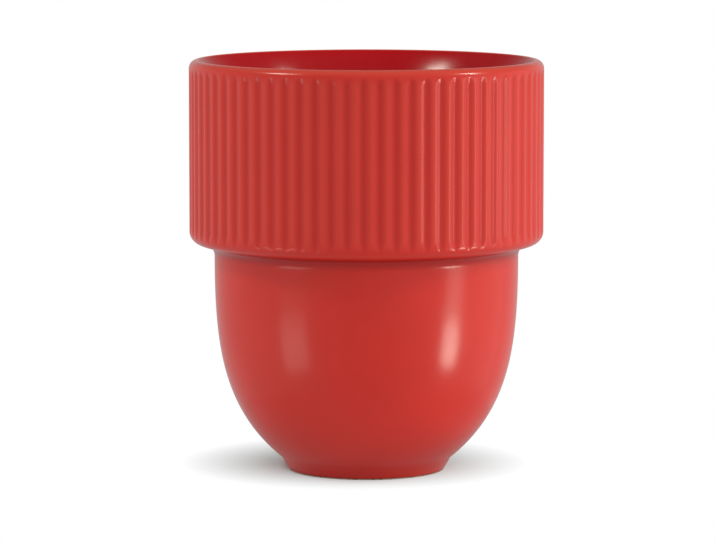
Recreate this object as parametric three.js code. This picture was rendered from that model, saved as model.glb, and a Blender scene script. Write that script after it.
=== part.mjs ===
// Stacking stoneware cup without a handle: a wide ribbed collar on a narrower round bowl,
// glazed red inside and out, standing on a low foot ring with a bare underside.
// Millimetres, +Z up. The origin is the middle of the foot, on the table. The front faces -Y.

import * as THREE from 'three';

// Collar
const cupHeight = 98.8;
const collarDiameter = 85;
const shoulderHeight = 54.8; // underside of the collar above the table
const shoulderWidth = 6; // how far the collar stands out from the bowl
const stackingClearance = 0.8; // between this collar and the bowl of a cup stacked in it
const rimOuterRound = 2;
const rimInnerDrop = 7.5; // height of the long soft bevel inside the rim, a curve with two handles
const rimTopHandle = 1.5;
const rimSideHandle = 2.9;
const collarLowerRound = 2.8;
const shoulderFillet = 2.7; // hollow round between the underside of the collar and the bowl

// Ribs round the collar
const ribCount = 72;
const ribDepth = 0.4; // from the crest of a rib to the bottom of the groove beside it
const ribUpperMargin = 1.7; // plain band between the full ribs and the round of the rim
const ribLowerMargin = 2.4; // plain band between the full ribs and the lower round
const firstGrooveDegrees = -1; // from the front, towards +X

// Ledge inside the collar, and the luted joint below it that holds the bowl
const jointDepth = 1.6; // how far the edge of the bowl reaches above the shoulder, inside the collar
const jointInset = 1.6; // of that edge from the side of the bowl
const ledgeCover = 2.4; // from that edge up to the ledge
const ledgeFillet = 2.5;
const ledgeEdgeRound = 1.8;

// Bowl: outside and inside are one long curve each, set by the two handles of the curve
const bowlWall = 4.5; // at the shoulder
const floorThickness = 5;
const bowlSideHandle = 24.4; // below the shoulder
const bowlTurnInset = 1.7; // of the lower handle from the side of the bowl
const bowlTurnRise = 11.7; // of the lower handle above the foot
const insideTurnInset = 3; // of the handle at the floor from the side of the hollow

// Foot ring
const footHeight = 3.1;
const footTopRadius = 20.5;
const footTaper = 1.8; // how much smaller its radius is at the table
const footRingWidth = 4.3;
const footEdgeChamfer = 0.2;

// Glaze and fits
const glazeThickness = 0.5;
const glazeLine = 0.35; // bare clay below this height
const recessPool = 1; // round of glaze that gathers in the corner of the foot's recess
const lipGlazeReach = 0.8; // the outside glaze runs over the rim and this far along the bevel
const fitGap = 0.1; // between neighbouring pieces

// Fineness of the facets
const sides = 48;
const arcSteps = 2;
const rimSteps = 3;
const bowlSteps = 8;

// Sizes that follow from these
const clayDepth = glazeThickness + fitGap;
const collarRadius = collarDiameter / 2;
const bowlRadius = collarRadius - shoulderWidth;
const collarWall = shoulderWidth - stackingClearance;
const mouthRadius = collarRadius - collarWall;
const rimOuter = Math.min(rimOuterRound, collarWall - 2 * clayDepth);
const lowerRound = Math.min(collarLowerRound, shoulderWidth - shoulderFillet - 2 * fitGap);
const filletFoot = shoulderHeight - shoulderFillet;
const jointHeight = shoulderHeight + clayDepth + jointDepth;
const jointRadius = bowlRadius - jointInset - clayDepth;
const ledgeHeight = jointHeight + ledgeCover;
const hollowRadius = bowlRadius - bowlWall;
const ledgeRound = Math.min(ledgeEdgeRound, ledgeCover - 2 * fitGap);
const ledgeCorner = Math.min(ledgeFillet, mouthRadius - hollowRadius - ledgeRound - fitGap);
const floorHeight = footHeight + floorThickness;
const footHollowRadius = footTopRadius - footTaper - footRingWidth;

// A ring of the surface: its radius and height, and the depth of the grooves across it
const ring = (radius, height, groove = 0) => ({ radius, height, groove });

const rings = (curve, steps) => curve.getPoints(steps).map((place) => ring(place.x, place.y));

// Part of a circle in the section, between two angles in degrees from the outward direction
function arc(radius, height, size, from, to) {
  const start = THREE.MathUtils.degToRad(from);
  const end = THREE.MathUtils.degToRad(to);
  return rings(new THREE.EllipseCurve(radius, height, size, size, start, end, to < from), arcSteps);
}

const spot = (radius, height) => new THREE.Vector2(radius, height);

// Unit normal of the surface between two rings. Outlines run up the outside of the cup, in over the rim
// and down the inside, so that the clay lies on their left.
const normal = (from, to) => spot(to.height - from.height, from.radius - to.radius).normalize();

// The same outline at a depth under the surface, with mitred corners
function under(outline, depth) {
  return outline.map((here, i) => {
    const last = i === outline.length - 1;
    const before = i > 0 ? normal(outline[i - 1], here) : normal(here, outline[1]);
    const after = last ? before.clone() : normal(here, outline[i + 1]);
    if (here.radius === 0) {
      // On the axis the surface meets its own mirror image
      (last ? after : before).x *= -1;
    }
    const shift = depth / (1 + before.dot(after));
    const radius = here.radius - (before.x + after.x) * shift;
    return ring(radius, here.height - (before.y + after.y) * shift, here.groove);
  });
}

// Radius of the foot's tapered side at a height, at a depth under its glazed surface
function footSide(height, depth) {
  const slope = footTaper / footHeight;
  return footTopRadius - slope * (footHeight - height) - depth * Math.hypot(1, slope);
}

// Glazed outlines of the cup, one after the other from the foot to the floor inside
const bowlCurve = new THREE.CubicBezierCurve(
  spot(footTopRadius, footHeight),
  spot(bowlRadius - bowlTurnInset, footHeight + bowlTurnRise),
  spot(bowlRadius, shoulderHeight - bowlSideHandle),
  spot(bowlRadius, filletFoot),
);
const hollowCurve = new THREE.CubicBezierCurve(
  spot(hollowRadius, ledgeHeight - ledgeRound),
  spot(hollowRadius, shoulderHeight - bowlSideHandle - bowlWall),
  spot(hollowRadius - insideTurnInset, floorHeight),
  spot(0, floorHeight),
);
const rimCurve = new THREE.CubicBezierCurve(
  spot(collarRadius - rimOuter, cupHeight),
  spot(collarRadius - rimOuter - rimTopHandle, cupHeight),
  spot(mouthRadius, cupHeight - rimInnerDrop + rimSideHandle),
  spot(mouthRadius, cupHeight - rimInnerDrop),
);
const bevel = rings(rimCurve, rimSteps);

// A ring on the first facet of the bevel, at a distance from the top of the rim
function onBevel(reach) {
  const [top, next] = bevel;
  const share = reach / Math.hypot(next.radius - top.radius, next.height - top.height);
  const { lerp } = THREE.MathUtils;
  return ring(lerp(top.radius, next.radius, share), lerp(top.height, next.height, share));
}

const outlines = {
  foot: [ring(footSide(glazeLine, 0), glazeLine)],
  bowl: rings(bowlCurve, bowlSteps),
  fillet: [
    ring(bowlRadius, filletFoot + fitGap),
    ...arc(bowlRadius + shoulderFillet, filletFoot, shoulderFillet, 180, 90).slice(1),
  ],
  collar: [
    ring(bowlRadius + shoulderFillet + fitGap, shoulderHeight),
    ...arc(collarRadius - lowerRound, shoulderHeight + lowerRound, lowerRound, -90, 0),
    ring(collarRadius, shoulderHeight + lowerRound + ribLowerMargin, ribDepth),
    ring(collarRadius, cupHeight - rimOuter - ribUpperMargin, ribDepth),
    ...arc(collarRadius - rimOuter, cupHeight - rimOuter, rimOuter, 0, 90),
  ],
  lip: [onBevel(lipGlazeReach)],
  liner: [onBevel(lipGlazeReach + fitGap), ...bevel.slice(1)],
  ledge: [
    ...arc(mouthRadius - ledgeCorner, ledgeHeight + ledgeCorner, ledgeCorner, 0, -90),
    ...arc(hollowRadius + ledgeRound, ledgeHeight - ledgeRound, ledgeRound, 90, 180),
  ],
  hollow: rings(hollowCurve, bowlSteps).slice(1),
};

// The rings of some of these outlines, at a depth under the glazed surface
function surface(names, depth) {
  const labelled = Object.entries(outlines).flatMap(([name, list]) => list.map((item) => [name, item]));
  const sunk = under(labelled.map(([, item]) => item), depth);
  return sunk.filter((item, i) => names.includes(labelled[i][0]));
}

// A coat of glaze: the glazed surface, and back along the surface under it
const coat = (glazed, underside) => [...glazed, ...underside.toReversed()];

// Triangles between two neighbouring rings, which may have different numbers of points.
// Where both could step on, the lower ring goes first, so touching surfaces get the same facets.
function band(a, b) {
  const steps = [a, b].map((item) => (item.count === 1 ? 0 : item.count));
  const corner = (item, i) => item.first + (i % item.count);
  const triangles = [];
  let i = 0;
  let j = 0;
  while (i < steps[0] || j < steps[1]) {
    const nextA = steps[0] ? (i + 1) / steps[0] : Infinity;
    const nextB = steps[1] ? (j + 1) / steps[1] : Infinity;
    if (nextA < nextB || (nextA === nextB && a.height < b.height)) {
      triangles.push(corner(a, i), corner(a, i + 1), corner(b, j));
      i += 1;
    } else {
      triangles.push(corner(a, i), corner(b, j + 1), corner(b, j));
      j += 1;
    }
  }
  return triangles;
}

// A closed solid of revolution through the rings of its section, with grooves where a ring has them
function turned(section) {
  const positions = [];
  const circles = section.map(({ radius, height, groove }) => {
    const first = positions.length / 3;
    const roundCount = groove > 0 ? 2 * ribCount : sides;
    const count = radius === 0 ? 1 : roundCount;
    for (let i = 0; i < count; i += 1) {
      const angle = THREE.MathUtils.degToRad(firstGrooveDegrees) + (2 * Math.PI * i) / count;
      const reach = i % 2 === 0 ? radius - groove : radius;
      positions.push(reach * Math.sin(angle), -reach * Math.cos(angle), height);
    }
    return { first, count, height };
  });
  const geometry = new THREE.BufferGeometry();
  geometry.setAttribute('position', new THREE.Float32BufferAttribute(positions, 3));
  geometry.setIndex(circles.flatMap((circle, i) => band(circle, circles[(i + 1) % circles.length])));
  geometry.computeVertexNormals();
  return geometry;
}

const clay = () => new THREE.MeshStandardMaterial({ color: 0xc9b598, roughness: 0.9, metalness: 0 });
const glaze = (color) => new THREE.MeshStandardMaterial({ color, roughness: 0.28, metalness: 0 });

function piece(name, section, material) {
  const mesh = new THREE.Mesh(turned(section), material);
  mesh.name = name;
  return mesh;
}

// Stoneware pieces
function bowl() {
  const outside = surface(['bowl'], clayDepth);
  const inside = surface(['hollow'], clayDepth);
  const section = [
    ring(0, outside[0].height),
    ...outside,
    ring(jointRadius, filletFoot),
    ring(jointRadius, jointHeight),
    ring(hollowRadius + clayDepth, jointHeight),
    ...inside,
  ];
  return piece('bowl', section, clay());
}

function ribbedCollar() {
  const socketRadius = jointRadius + fitGap;
  const section = [
    ring(socketRadius, filletFoot + fitGap),
    ...surface(['fillet', 'collar', 'liner', 'ledge'], clayDepth),
    ring(hollowRadius + clayDepth, jointHeight + fitGap),
    ring(socketRadius, jointHeight + fitGap),
  ];
  return piece('ribbed_collar', section, clay());
}

const footSeat = surface(['bowl'], clayDepth)[0].height - fitGap;

function footRing() {
  const bareEdge = glazeLine - fitGap;
  const section = [
    ring(footHollowRadius + footEdgeChamfer, 0),
    ring(footSide(footEdgeChamfer, 0) - footEdgeChamfer, 0),
    ring(footSide(footEdgeChamfer, 0), footEdgeChamfer),
    ring(footSide(bareEdge, 0), bareEdge),
    ring(footSide(bareEdge, clayDepth), bareEdge),
    ring(footSide(footSeat, clayDepth), footSeat),
    ring(footHollowRadius + clayDepth, footSeat),
    ring(footHollowRadius + clayDepth, bareEdge),
    ring(footHollowRadius, bareEdge),
    ring(footHollowRadius, footEdgeChamfer),
  ];
  return piece('foot_ring', section, clay());
}

// Coats of glaze
function linerGlaze() {
  const names = ['liner', 'ledge', 'hollow'];
  return piece('liner_glaze', coat(surface(names, 0), surface(names, glazeThickness)), glaze(0xa81f26));
}

function collarGlaze() {
  const names = ['collar', 'lip'];
  return piece('collar_glaze', coat(surface(names, 0), surface(names, glazeThickness)), glaze(0xc23c37));
}

function bowlGlaze() {
  const names = ['foot', 'bowl', 'fillet'];
  return piece('bowl_glaze', coat(surface(names, 0), surface(names, glazeThickness)), glaze(0xb93430));
}

function recessGlaze() {
  const roof = footSeat - glazeThickness;
  const wall = ring(footHollowRadius, glazeLine);
  const pool = arc(footHollowRadius - recessPool, roof - recessPool, recessPool, 90, 0);
  const glazed = [ring(0, roof), ...pool, wall];
  const underside = under([ring(0, roof), ring(footHollowRadius, roof), wall], glazeThickness);
  return piece('recess_glaze', coat(glazed, underside), glaze(0xb93430));
}

const cup = new THREE.Group();
cup.name = 'cup';
cup.add(bowl(), ribbedCollar(), footRing(), linerGlaze(), collarGlaze(), bowlGlaze(), recessGlaze());

export default cup;
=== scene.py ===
"""Looks of a stacking stoneware cup: turned buff clay under coats of red glaze, on a white plinth."""
import math

import bmesh
import bpy
from mathutils import Matrix, Vector
from mathutils.geometry import interpolate_bezier


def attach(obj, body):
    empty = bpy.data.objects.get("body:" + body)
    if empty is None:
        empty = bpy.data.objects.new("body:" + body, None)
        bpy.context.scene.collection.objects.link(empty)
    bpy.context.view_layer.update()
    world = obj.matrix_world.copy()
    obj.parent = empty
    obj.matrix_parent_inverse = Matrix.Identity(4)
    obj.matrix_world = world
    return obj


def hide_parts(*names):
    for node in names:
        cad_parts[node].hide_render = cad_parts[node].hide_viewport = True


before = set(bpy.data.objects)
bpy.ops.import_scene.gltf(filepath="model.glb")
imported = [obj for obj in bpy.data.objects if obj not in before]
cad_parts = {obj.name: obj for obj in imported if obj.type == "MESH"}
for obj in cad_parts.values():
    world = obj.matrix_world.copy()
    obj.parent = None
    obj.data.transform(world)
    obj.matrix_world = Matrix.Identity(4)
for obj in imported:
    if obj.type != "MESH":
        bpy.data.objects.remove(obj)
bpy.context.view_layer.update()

MM = 0.001

# Collar
CUP_HEIGHT = 98.8 * MM
COLLAR_RADIUS = 42.5 * MM
COLLAR_WALL = 5.2 * MM
SHOULDER_HEIGHT = 54.8 * MM
SHOULDER_WIDTH = 6 * MM
RIM_OUTER_ROUND = 2 * MM
RIM_INNER_DROP = 5 * MM
RIM_TOP_HANDLE = 0.6 * MM
RIM_SIDE_HANDLE = 0.3 * MM
LOWER_ROUND = 2.9 * MM
SHOULDER_FILLET = 3 * MM
FILLET_FOOT = SHOULDER_HEIGHT - SHOULDER_FILLET
MOUTH_RADIUS = COLLAR_RADIUS - COLLAR_WALL

# Grooves between the ribs
RIB_COUNT = 72
RIB_DEPTH = 0.4 * MM
FIRST_GROOVE = math.radians(-1)
GROOVE_TOP = CUP_HEIGHT - 1.7 * MM
GROOVE_TOP_RUNOUT = 2.4 * MM
GROOVE_FOOT = SHOULDER_HEIGHT + 1.5 * MM
GROOVE_FOOT_RUNOUT = 3.4 * MM
FLUTED_DEPTH = 1.5 * MM

# Ledge inside the collar and the joint with the bowl
JOINT_HEIGHT = SHOULDER_HEIGHT + 2.2 * MM
LEDGE_HEIGHT = JOINT_HEIGHT + 2.4 * MM
LEDGE_FILLET = 2.5 * MM
LEDGE_EDGE_ROUND = 1.8 * MM

# Bowl
BOWL_RADIUS = COLLAR_RADIUS - SHOULDER_WIDTH
BOWL_WALL = 4.5 * MM
HOLLOW_RADIUS = BOWL_RADIUS - BOWL_WALL
BOWL_SIDE_HANDLE = 24.4 * MM
BOWL_TURN_INSET = 1.7 * MM
BOWL_TURN_RISE = 11.7 * MM
INSIDE_TURN_INSET = 3 * MM

# Foot
FOOT_HEIGHT = 3.1 * MM
FOOT_TOP_RADIUS = 20.5 * MM
FOOT_TAPER = 1.8 * MM
FOOT_RING_WIDTH = 4.3 * MM
FOOT_HOLLOW_RADIUS = FOOT_TOP_RADIUS - FOOT_TAPER - FOOT_RING_WIDTH
FOOT_EDGE_ROUND = 0.2 * MM
FLOOR_HEIGHT = FOOT_HEIGHT + 5 * MM

# Glaze
GLAZE = 0.5 * MM
FIT_GAP = 0.1 * MM
CLAY_DEPTH = GLAZE + FIT_GAP
JOINT_RADIUS = BOWL_RADIUS - 1.6 * MM - CLAY_DEPTH
GLAZE_LINE = 0.35 * MM
RECESS_POOL = 1 * MM
LIP_STEPS = 2
CREST_THINNESS = 0.2
EDGE_THINNESS = 0.7
RIM_THINNING = 1.6 * MM
GROOVE_POOL = 0.25
# The hollow under the collar gets the dark pooled colour: partly glaze pooling, partly painted shade of
# the collar's shadow.
HOLLOW_POOL_AND_SHADE = 0.7
HOLLOW_SHADE_RISE = 1.6 * MM

# Fineness of the meshes
FLUTED_STEPS = RIB_COUNT * 10
ROUND_STEPS = 184
WEDGE_DOUBLINGS = 3
MERGE_DISTANCE = 0.001 * MM
SMOOTH_ANGLE = math.radians(35)

# Camera, from a fit of the cup's outline in the photograph
PHOTO_WIDTH = 716
FOCAL_PIXELS = 4157
CAMERA_SPOT = Vector((0, -993.9 * MM, 160.4 * MM))
CAMERA_AIM = Vector((-2.02 * MM, 0, 48.1 * MM))

# Vertex value for the glaze colour: pooling and thinness of the glaze, and painted shade in the hollow
# under the collar.
POOL_AND_SHADE = "pool_and_shade"


def at(radius, height):
    return Vector((radius, 0, height))


def arc(radius, height, size, start, end, steps=10):
    """Points of a circle between two angles in degrees from the outward direction."""
    angles = [math.radians(start + (end - start) * i / steps) for i in range(steps + 1)]
    return [at(radius + size * math.cos(a), height + size * math.sin(a)) for a in angles]


def curve(start, start_handle, end_handle, end, steps=36):
    return interpolate_bezier(start, start_handle, end_handle, end, steps + 1)


def rise(radius, low, high, steps):
    """Points straight up or down a wall, without its two ends."""
    return [at(radius, low + (high - low) * i / steps) for i in range(1, steps)]


def facing(start, end):
    """Unit normal of the surface between two points of an outline that has its clay on the left."""
    return Vector((end.z - start.z, 0, start.x - end.x)).normalized()


def under(outline, depth):
    """The outline at a depth under the surface, with mitred corners."""
    sunk = []
    for i, here in enumerate(outline):
        first = i == 0
        last = i == len(outline) - 1
        before = facing(outline[0], outline[1]) if first else facing(outline[i - 1], here)
        after = before.copy() if last else facing(here, outline[i + 1])
        if here.x < MERGE_DISTANCE:
            (before if first else after).x *= -1
        sunk.append(here - (before + after) * depth / (1 + before.dot(after)))
    return sunk


def foot_side(height, depth=0.0):
    """Radius of the foot's tapered side."""
    slope = FOOT_TAPER / FOOT_HEIGHT
    return FOOT_TOP_RADIUS - slope * (FOOT_HEIGHT - height) - depth * math.hypot(1, slope)


# Glazed outlines, from the foot up the outside, over the rim and down the inside
foot_line = [at(foot_side(GLAZE_LINE), GLAZE_LINE)]
bowl_line = curve(
    at(FOOT_TOP_RADIUS, FOOT_HEIGHT),
    at(BOWL_RADIUS - BOWL_TURN_INSET, FOOT_HEIGHT + BOWL_TURN_RISE),
    at(BOWL_RADIUS, SHOULDER_HEIGHT - BOWL_SIDE_HANDLE),
    at(BOWL_RADIUS, FILLET_FOOT),
)
fillet_line = arc(BOWL_RADIUS + SHOULDER_FILLET, FILLET_FOOT, SHOULDER_FILLET, 180, 90, 16)[1:]
lower_round = arc(COLLAR_RADIUS - LOWER_ROUND, SHOULDER_HEIGHT + LOWER_ROUND, LOWER_ROUND, -90, 0, 16)
runout_foot = rise(COLLAR_RADIUS, SHOULDER_HEIGHT + LOWER_ROUND, GROOVE_FOOT + GROOVE_FOOT_RUNOUT, 6)
fluted_wall = rise(
    COLLAR_RADIUS, GROOVE_FOOT + GROOVE_FOOT_RUNOUT, GROOVE_TOP - GROOVE_TOP_RUNOUT, 5
)
runout_top = rise(COLLAR_RADIUS, GROOVE_TOP - GROOVE_TOP_RUNOUT, CUP_HEIGHT - RIM_OUTER_ROUND, 6)
rim_outside = arc(
    COLLAR_RADIUS - RIM_OUTER_ROUND, CUP_HEIGHT - RIM_OUTER_ROUND, RIM_OUTER_ROUND, 0, 90, 16
)
rim_inside = curve(
    at(COLLAR_RADIUS - RIM_OUTER_ROUND, CUP_HEIGHT),
    at(COLLAR_RADIUS - RIM_OUTER_ROUND - RIM_TOP_HANDLE, CUP_HEIGHT),
    at(MOUTH_RADIUS, CUP_HEIGHT - RIM_INNER_DROP + RIM_SIDE_HANDLE),
    at(MOUTH_RADIUS, CUP_HEIGHT - RIM_INNER_DROP),
    16,
)
collar_line = [
    at(BOWL_RADIUS + SHOULDER_FILLET, SHOULDER_HEIGHT),
    *lower_round,
    *runout_foot,
    *fluted_wall,
    *runout_top,
    *rim_outside,
    *rim_inside[1:LIP_STEPS],
]
lip_line = [rim_inside[LIP_STEPS]]
bevel_line = rim_inside[LIP_STEPS + 1:]
ledge_line = [
    *arc(MOUTH_RADIUS - LEDGE_FILLET, LEDGE_HEIGHT + LEDGE_FILLET, LEDGE_FILLET, 0, -90),
    *arc(HOLLOW_RADIUS + LEDGE_EDGE_ROUND, LEDGE_HEIGHT - LEDGE_EDGE_ROUND, LEDGE_EDGE_ROUND, 90, 180),
]
hollow_line = curve(
    at(HOLLOW_RADIUS, LEDGE_HEIGHT - LEDGE_EDGE_ROUND),
    at(HOLLOW_RADIUS, SHOULDER_HEIGHT - BOWL_SIDE_HANDLE - BOWL_WALL),
    at(HOLLOW_RADIUS - INSIDE_TURN_INSET, FLOOR_HEIGHT),
    at(0, FLOOR_HEIGHT),
)[1:]


def across_rib(angle):
    """Place across the evenly spaced ribs, from 0 on a crest to 1 in the middle of a groove."""
    return 0.5 + 0.5 * math.cos(RIB_COUNT * (angle - FIRST_GROOVE))


def runout(height):
    """How much of the grooves is lost at a height, from nothing to all of it at their ends."""
    above = max(0, height - (GROOVE_TOP - GROOVE_TOP_RUNOUT)) / GROOVE_TOP_RUNOUT
    below = max(0, GROOVE_FOOT + GROOVE_FOOT_RUNOUT - height) / GROOVE_FOOT_RUNOUT
    return min(1, above ** 2 + below ** 1.5)


def flute(bm):
    """Cuts the grooves into the collar's outside. The glaze is thick in them and thin on the crests."""
    pool_and_shade = bm.verts.layers.float.new(POOL_AND_SHADE)
    for vert in bm.verts:
        radius = vert.co.xy.length
        if radius < COLLAR_RADIUS - FLUTED_DEPTH and vert.co.z < CUP_HEIGHT - RIM_THINNING:
            continue
        across = across_rib(math.atan2(vert.co.x, -vert.co.y))
        lost = runout(vert.co.z)
        vert.co.xy *= 1 - RIB_DEPTH * max(0, across - lost) / radius
        vert[pool_and_shade] = (GROOVE_POOL if across > 0.5 else CREST_THINNESS) * (2 * across - 1) * (1 - lost)
        near_edge = (vert.co.z - CUP_HEIGHT) / RIM_THINNING + 1
        vert[pool_and_shade] -= EDGE_THINNESS * max(0, min(1, near_edge))


def pool_and_painted_shade_in_hollow(bm):
    """Darkens the glaze in the hollow round under the collar: partly glaze gathering there, partly painted
    shade of the collar's shadow.
    """
    pool_and_shade = bm.verts.layers.float.new(POOL_AND_SHADE)
    for vert in bm.verts:
        up_the_hollow = (vert.co.z - FILLET_FOOT) / HOLLOW_SHADE_RISE
        vert[pool_and_shade] = HOLLOW_POOL_AND_SHADE * max(0, min(1, up_the_hollow))


def turn_copy(bm, angle):
    """Adds a copy of everything so far, turned round the cup's axis."""
    copy = bmesh.ops.duplicate(bm, geom=bm.verts[:] + bm.edges[:] + bm.faces[:])["geom"]
    verts = [item for item in copy if isinstance(item, bmesh.types.BMVert)]
    bmesh.ops.rotate(bm, verts=verts, cent=(0, 0, 0), matrix=Matrix.Rotation(angle, 3, "Z"))


def turned(name, section, steps=ROUND_STEPS, shape=None):
    """A closed piece from its section, spun round the cup's axis as a wedge that is then doubled."""
    bm = bmesh.new()
    verts = [bm.verts.new(point) for point in section]
    edges = [bm.edges.new(pair) for pair in zip(verts, verts[1:])]
    if section[0].x > 0:
        edges.append(bm.edges.new((verts[-1], verts[0])))
    wedge = math.tau / 2 ** WEDGE_DOUBLINGS
    wedge_steps = steps // 2 ** WEDGE_DOUBLINGS
    bmesh.ops.spin(bm, geom=verts + edges, cent=(0, 0, 0), axis=(0, 0, 1), angle=wedge, steps=wedge_steps)
    for i in range(WEDGE_DOUBLINGS):
        turn_copy(bm, wedge * 2 ** i)
    bmesh.ops.remove_doubles(bm, verts=bm.verts, dist=MERGE_DISTANCE)
    bmesh.ops.recalc_face_normals(bm, faces=bm.faces)
    if shape:
        shape(bm)
    for face in bm.faces:
        face.smooth = True
    mesh = bpy.data.meshes.new(name)
    bm.to_mesh(mesh)
    bm.free()
    mesh.set_sharp_from_angle(angle=SMOOTH_ANGLE)
    piece = bpy.data.objects.new(name, mesh)
    bpy.context.scene.collection.objects.link(piece)
    return piece


def coat(glazed, underside):
    return [*glazed, *reversed(underside)]


# Materials
NOISE_LOW = 0.3
NOISE_HIGH = 0.7


def add_node(tree, kind, **settings):
    node = tree.nodes.new(kind)
    for setting, value in settings.items():
        setattr(node, setting, value)
    return node


def noise(tree, place, size, detail=2.0):
    """Noise with grains of about the given size."""
    texture = add_node(tree, "ShaderNodeTexNoise")
    texture.inputs["Scale"].default_value = 1 / size
    texture.inputs["Detail"].default_value = detail
    tree.links.new(place.outputs["Object"], texture.inputs["Vector"])
    return texture.outputs["Fac"]


def ramp(tree, value, start, end, low, high):
    """A value that runs from low to high while another one runs from start to end."""
    node = add_node(tree, "ShaderNodeMapRange")
    node.inputs["From Min"].default_value = start
    node.inputs["From Max"].default_value = end
    node.inputs["To Min"].default_value = low
    node.inputs["To Max"].default_value = high
    tree.links.new(value, node.inputs["Value"])
    return node.outputs["Result"]


def spread(tree, value, low, high):
    """A noise value stretched to run from low to high."""
    return ramp(tree, value, NOISE_LOW, NOISE_HIGH, low, high)


def blend_colours(tree, factor, first, second):
    node = add_node(tree, "ShaderNodeMix", data_type="RGBA")
    tree.links.new(factor, node.inputs["Factor"])
    for socket, colour in ((node.inputs["A"], first), (node.inputs["B"], second)):
        if isinstance(colour, tuple):
            socket.default_value = (*colour, 1)
        else:
            tree.links.new(colour, socket)
    return node.outputs["Result"]


def bump(tree, height, strength, distance, below=None):
    node = add_node(tree, "ShaderNodeBump")
    node.inputs["Strength"].default_value = strength
    node.inputs["Distance"].default_value = distance
    tree.links.new(height, node.inputs["Height"])
    if below:
        tree.links.new(below, node.inputs["Normal"])
    return node.outputs["Normal"]


def new_material(name):
    material = bpy.data.materials.new(name)
    material.use_nodes = True
    return material, material.node_tree, material.node_tree.nodes["Principled BSDF"]


def glaze_material(name, thin, full, pooled_and_shade):
    """Satin red glaze: lighter where it is thin, deeper where it pools, faintly uneven all over. The deep
    pooled colour is also painted shade in the hollow under the collar.
    """
    material, tree, shader = new_material(name)
    place = add_node(tree, "ShaderNodeTexCoord")
    pool_and_shade = add_node(tree, "ShaderNodeAttribute", attribute_name=POOL_AND_SHADE)
    thinness = add_node(tree, "ShaderNodeMath", operation="MULTIPLY")
    thinness.inputs[1].default_value = -1
    tree.links.new(pool_and_shade.outputs["Fac"], thinness.inputs[0])
    cloud = spread(tree, noise(tree, place, 14 * MM), 0, 0.08)
    body = blend_colours(tree, cloud, full, pooled_and_shade)
    thinned = blend_colours(tree, thinness.outputs[0], body, thin)
    colour = blend_colours(tree, pool_and_shade.outputs["Fac"], thinned, pooled_and_shade)
    tree.links.new(colour, shader.inputs["Base Color"])
    tree.links.new(spread(tree, noise(tree, place, 3 * MM), 0.18, 0.22), shader.inputs["Roughness"])
    waves = bump(tree, noise(tree, place, 6 * MM, 1), 0.15, 0.1 * MM)
    skin = bump(tree, noise(tree, place, 0.7 * MM), 0.1, 0.02 * MM, waves)
    tree.links.new(skin, shader.inputs["Normal"])
    shader.inputs["IOR"].default_value = 1.45
    return material


def clay_material():
    """Bare buff stoneware: matt, grainy, with fine dark specks."""
    material, tree, shader = new_material("buff_stoneware")
    place = add_node(tree, "ShaderNodeTexCoord")
    cloud = spread(tree, noise(tree, place, 5 * MM), 0, 1)
    buff = blend_colours(tree, cloud, (0.56, 0.44, 0.31), (0.47, 0.35, 0.24))
    speck = spread(tree, noise(tree, place, 0.5 * MM, 0), -4, 1)
    tree.links.new(blend_colours(tree, speck, buff, (0.2, 0.13, 0.08)), shader.inputs["Base Color"])
    tree.links.new(spread(tree, noise(tree, place, 2 * MM), 0.8, 0.95), shader.inputs["Roughness"])
    tree.links.new(bump(tree, noise(tree, place, 0.3 * MM), 0.5, 0.05 * MM), shader.inputs["Normal"])
    return material


# The pooled colour is dark both for glaze pooled in the grooves and for the painted shade in the hollow
# under the collar.
red_glaze = glaze_material(
    "red_glaze", thin=(0.7, 0.1, 0.065), full=(0.63, 0.028, 0.0175), pooled_and_shade=(0.3, 0.004, 0.004)
)
liner_red = glaze_material(
    "liner_red", thin=(0.56, 0.003, 0.008), full=(0.48, 0.002, 0.006), pooled_and_shade=(0.3, 0.002, 0.004)
)
clay = clay_material()


def add_piece(piece, node, material):
    piece.data.materials.append(material)
    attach(piece, "root")
    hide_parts(node)


# Coats of glaze
collar_outside = collar_line + lip_line
collar_coat = turned(
    "collar_glaze_coat", coat(collar_outside, under(collar_outside, GLAZE)), FLUTED_STEPS, flute
)
add_piece(collar_coat, "collar_glaze", red_glaze)

bowl_outside = foot_line + bowl_line + fillet_line
# The bowl's coat carries the painted shade in the hollow under the collar.
bowl_coat = turned(
    "bowl_glaze_coat", coat(bowl_outside, under(bowl_outside, GLAZE)), ROUND_STEPS, pool_and_painted_shade_in_hollow
)
add_piece(bowl_coat, "bowl_glaze", red_glaze)

cup_inside = lip_line + bevel_line + ledge_line + hollow_line
liner_coat = turned("liner_glaze_coat", coat(cup_inside, under(cup_inside, GLAZE)))
add_piece(liner_coat, "liner_glaze", liner_red)

# Clay
bowl_clay_outside = under(bowl_outside, CLAY_DEPTH)[1:-len(fillet_line)]
FOOT_SEAT = bowl_clay_outside[0].z - FIT_GAP
bowl_clay = turned(
    "bowl_clay",
    [
        at(0, bowl_clay_outside[0].z),
        *bowl_clay_outside,
        at(JOINT_RADIUS, FILLET_FOOT),
        at(JOINT_RADIUS, JOINT_HEIGHT),
        at(HOLLOW_RADIUS + CLAY_DEPTH, JOINT_HEIGHT),
        *under(ledge_line + hollow_line, CLAY_DEPTH)[len(ledge_line):],
    ],
)
add_piece(bowl_clay, "bowl", clay)

SOCKET_RADIUS = JOINT_RADIUS + FIT_GAP
fillet_edge = at(BOWL_RADIUS, FILLET_FOOT + FIT_GAP)
collar_clay_line = [fillet_edge] + fillet_line + collar_line[1:] + lip_line + bevel_line + ledge_line
collar_clay = turned(
    "collar_clay",
    [
        at(SOCKET_RADIUS, FILLET_FOOT + FIT_GAP),
        *under(collar_clay_line + hollow_line, CLAY_DEPTH)[:len(collar_clay_line)],
        at(HOLLOW_RADIUS + CLAY_DEPTH, JOINT_HEIGHT + FIT_GAP),
        at(SOCKET_RADIUS, JOINT_HEIGHT + FIT_GAP),
    ],
    FLUTED_STEPS,
    flute,
)
add_piece(collar_clay, "ribbed_collar", clay)

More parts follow.
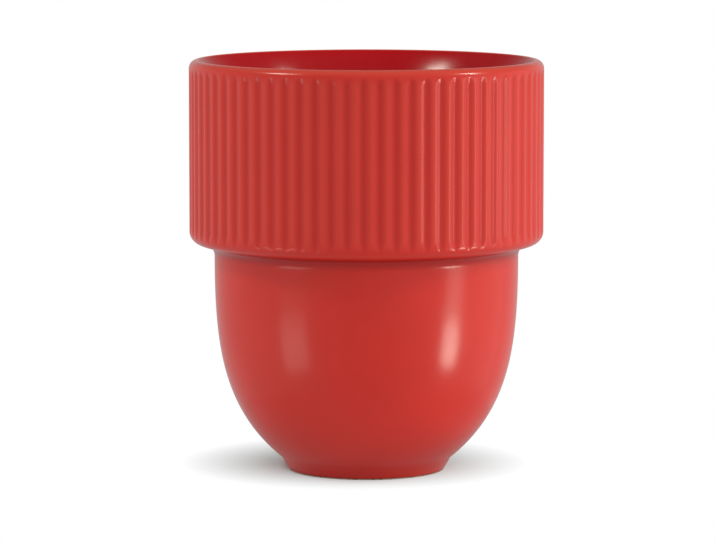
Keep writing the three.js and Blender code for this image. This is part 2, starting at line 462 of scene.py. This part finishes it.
BARE_EDGE = GLAZE_LINE - FIT_GAP
foot_clay = turned(
    "foot_ring_clay",
    [
        at(FOOT_HOLLOW_RADIUS + FOOT_EDGE_ROUND, 0),
        *arc(foot_side(FOOT_EDGE_ROUND) - FOOT_EDGE_ROUND, FOOT_EDGE_ROUND, FOOT_EDGE_ROUND, -90, 0, 6),
        at(foot_side(BARE_EDGE), BARE_EDGE),
        at(foot_side(BARE_EDGE, CLAY_DEPTH), BARE_EDGE),
        at(foot_side(FOOT_SEAT, CLAY_DEPTH), FOOT_SEAT),
        at(FOOT_HOLLOW_RADIUS + CLAY_DEPTH, FOOT_SEAT),
        at(FOOT_HOLLOW_RADIUS + CLAY_DEPTH, BARE_EDGE),
        at(FOOT_HOLLOW_RADIUS, BARE_EDGE),
        *arc(FOOT_HOLLOW_RADIUS + FOOT_EDGE_ROUND, FOOT_EDGE_ROUND, FOOT_EDGE_ROUND, 180, 270, 6)[:-1],
    ],
)
add_piece(foot_clay, "foot_ring", clay)

# Glaze in the foot's recess
RECESS_ROOF = FOOT_SEAT - GLAZE
recess_wall = at(FOOT_HOLLOW_RADIUS, GLAZE_LINE)
recess_pool = arc(FOOT_HOLLOW_RADIUS - RECESS_POOL, RECESS_ROOF - RECESS_POOL, RECESS_POOL, 90, 0)
recess_coat = turned(
    "recess_glaze_coat",
    coat(
        [at(0, RECESS_ROOF), *recess_pool, recess_wall],
        under([at(0, RECESS_ROOF), at(FOOT_HOLLOW_RADIUS, RECESS_ROOF), recess_wall], GLAZE),
    ),
)
add_piece(recess_coat, "recess_glaze", red_glaze)


# Plinth, light and camera
PLINTH_RADIUS = 58 * MM
PLINTH_HEIGHT = 45 * MM
SHADOW_MIDDLE = (-3 * MM, 9 * MM, 0)
SHADOW_CORE = 17 * MM
SHADOW_REACH = 42 * MM
# As it is seen, the paint is a little blue against the red light that the cup throws on it
PAINT_SEEN = (0.66, 0.88, 0.89)
PAINT_IN_BOUNCES = (0.74, 0.74, 0.74)
FLOOR_IN_GLOSS = 0.45
FRONT_IN_GLOSS = 0.45
SIDES_IN_GLOSS = 0.52
CEILING_IN_GLOSS = 0.15
LAMP_DISTANCE = 600 * MM
WARM = (1, 0.97, 0.85)


def math_node(tree, operation, first, second):
    node = add_node(tree, "ShaderNodeMath", operation=operation)
    tree.links.new(first, node.inputs[0])
    tree.links.new(second, node.inputs[1])
    return node.outputs[0]


def views(tree):
    """Two switches: for what the camera sees, and for what shows in gloss or through clear pieces."""
    path = add_node(tree, "ShaderNodeLightPath").outputs
    in_gloss = math_node(tree, "MAXIMUM", path["Is Glossy Ray"], path["Is Transmission Ray"])
    return path["Is Camera Ray"], in_gloss


def plinth_material():
    """White paint that keeps the cup's shadow, and fades to pure white around it where it is seen."""
    material, tree, paint = new_material("white_plinth")
    paint.inputs["Roughness"].default_value = 0.9
    place = add_node(tree, "ShaderNodeTexCoord")
    away = add_node(tree, "ShaderNodeVectorMath", operation="DISTANCE")
    away.inputs[1].default_value = SHADOW_MIDDLE
    tree.links.new(place.outputs["Object"], away.inputs[0])
    fade = ramp(tree, away.outputs["Value"], SHADOW_CORE, SHADOW_REACH, 0, 1)
    seen_by_camera, seen_in_gloss = views(tree)
    colour = blend_colours(tree, seen_by_camera, PAINT_IN_BOUNCES, PAINT_SEEN)
    tree.links.new(colour, paint.inputs["Base Color"])
    share = math_node(tree, "MULTIPLY", fade, math_node(tree, "MAXIMUM", seen_by_camera, seen_in_gloss))
    white = add_node(tree, "ShaderNodeEmission")
    tree.links.new(ramp(tree, seen_in_gloss, 0, 1, 1, FLOOR_IN_GLOSS), white.inputs["Strength"])
    both = add_node(tree, "ShaderNodeMixShader")
    tree.links.new(share, both.inputs["Fac"])
    tree.links.new(paint.outputs[0], both.inputs[1])
    tree.links.new(white.outputs[0], both.inputs[2])
    tree.links.new(both.outputs[0], tree.nodes["Material Output"].inputs["Surface"])
    return material


def add_plinth():
    bm = bmesh.new()
    bmesh.ops.create_cone(
        bm, cap_ends=True, segments=128, radius1=PLINTH_RADIUS, radius2=PLINTH_RADIUS, depth=PLINTH_HEIGHT
    )
    bmesh.ops.translate(bm, verts=bm.verts, vec=(0, 0, -PLINTH_HEIGHT / 2))
    mesh = bpy.data.meshes.new("plinth")
    bm.to_mesh(mesh)
    bm.free()
    mesh.materials.append(plinth_material())
    plinth = bpy.data.objects.new("plinth", mesh)
    bpy.context.scene.collection.objects.link(plinth)


def softbox(name, azimuth, elevation, width, height, power):
    """A soft light aimed at the middle of the cup. Azimuth is from the camera's side towards the right."""
    light = bpy.data.lights.new(name, "AREA")
    light.shape = "RECTANGLE"
    light.size = width
    light.size_y = height
    light.energy = power
    light.color = WARM
    lamp = bpy.data.objects.new(name, light)
    side = math.radians(azimuth)
    lift = math.radians(elevation)
    away = Vector((math.sin(side) * math.cos(lift), -math.cos(side) * math.cos(lift), math.sin(lift)))
    lamp.location = Vector((0, 0, CUP_HEIGHT / 2)) + away * LAMP_DISTANCE
    lamp.rotation_euler = away.to_track_quat("Z", "Y").to_euler()
    bpy.context.scene.collection.objects.link(lamp)


def choose(tree, chosen, otherwise):
    """A switch: the socket that takes the chosen value, and the value that comes out."""
    node = add_node(tree, "ShaderNodeMix", data_type="FLOAT")
    tree.links.new(chosen, node.inputs["Factor"])
    tree.links.new(otherwise, node.inputs["A"])
    return node.inputs["B"], node.outputs["Result"]


def lobe(tree, place, direction, edge, even, full):
    """Light that is full in one direction and falls to even where the cosine from it is the edge's."""
    towards = add_node(tree, "ShaderNodeVectorMath", operation="DOT_PRODUCT")
    tree.links.new(place.outputs["Generated"], towards.inputs[0])
    towards.inputs[1].default_value = Vector(direction).normalized()
    return ramp(tree, towards.outputs["Value"], edge, 1, even, full)


def add_world(even, right, left, front):
    """Soft light from the sides and the front. Seen directly it is white, and in gloss a pale room."""
    world = bpy.data.worlds.new("studio")
    world.use_nodes = True
    bpy.context.scene.world = world
    tree = world.node_tree
    place = add_node(tree, "ShaderNodeTexCoord")
    split = add_node(tree, "ShaderNodeSeparateXYZ")
    tree.links.new(place.outputs["Generated"], split.inputs[0])
    from_right = lobe(tree, place, (1, 0, -0.15), edge=0.2, even=even, full=right)
    from_left = lobe(tree, place, (-1, 0, -0.2), edge=0.25, even=0, full=left)
    from_front = lobe(tree, place, (0.4, -0.8, 0.5), edge=0.6, even=0, full=front)
    soft = math_node(tree, "ADD", math_node(tree, "ADD", from_right, from_left), from_front)
    walls = ramp(tree, split.outputs["Y"], -0.7, 0.1, FRONT_IN_GLOSS, SIDES_IN_GLOSS)
    ceiling = ramp(tree, split.outputs["Z"], 0.2, 0.5, SIDES_IN_GLOSS, CEILING_IN_GLOSS)
    seen_by_camera, seen_in_gloss = views(tree)
    room, inner = choose(tree, seen_in_gloss, soft)
    tree.links.new(math_node(tree, "MINIMUM", walls, ceiling), room)
    backdrop, level = choose(tree, seen_by_camera, inner)
    backdrop.default_value = 1
    background = tree.nodes["Background"]
    background.inputs["Color"].default_value = (1, 1, 1, 1)
    tree.links.new(level, background.inputs["Strength"])


def add_camera():
    data = bpy.data.cameras.new("camera")
    data.sensor_width = 36
    data.lens = FOCAL_PIXELS / PHOTO_WIDTH * data.sensor_width
    camera = bpy.data.objects.new("camera", data)
    camera.location = CAMERA_SPOT
    camera.rotation_euler = (CAMERA_SPOT - CAMERA_AIM).to_track_quat("Z", "Y").to_euler()
    bpy.context.scene.collection.objects.link(camera)
    bpy.context.scene.camera = camera


add_plinth()
add_camera()
softbox("right_low_softbox", azimuth=67.3, elevation=-19.2, width=130 * MM, height=125 * MM, power=0.52)
softbox("right_side_softbox", azimuth=92, elevation=-2, width=700 * MM, height=600 * MM, power=0.3)
softbox("right_softbox", azimuth=69, elevation=-4, width=140 * MM, height=140 * MM, power=0.11)
softbox("right_high_softbox", azimuth=77, elevation=38, width=34 * MM, height=130 * MM, power=0.75)
softbox("left_low_softbox", azimuth=-57, elevation=-20, width=220 * MM, height=160 * MM, power=0.175)
softbox("left_high_softbox", azimuth=-69, elevation=47.5, width=140 * MM, height=80 * MM, power=0.72)
add_world(even=0.13, right=1.15, left=1.12, front=0.86)
bpy.context.scene.view_settings.view_transform = "Standard"
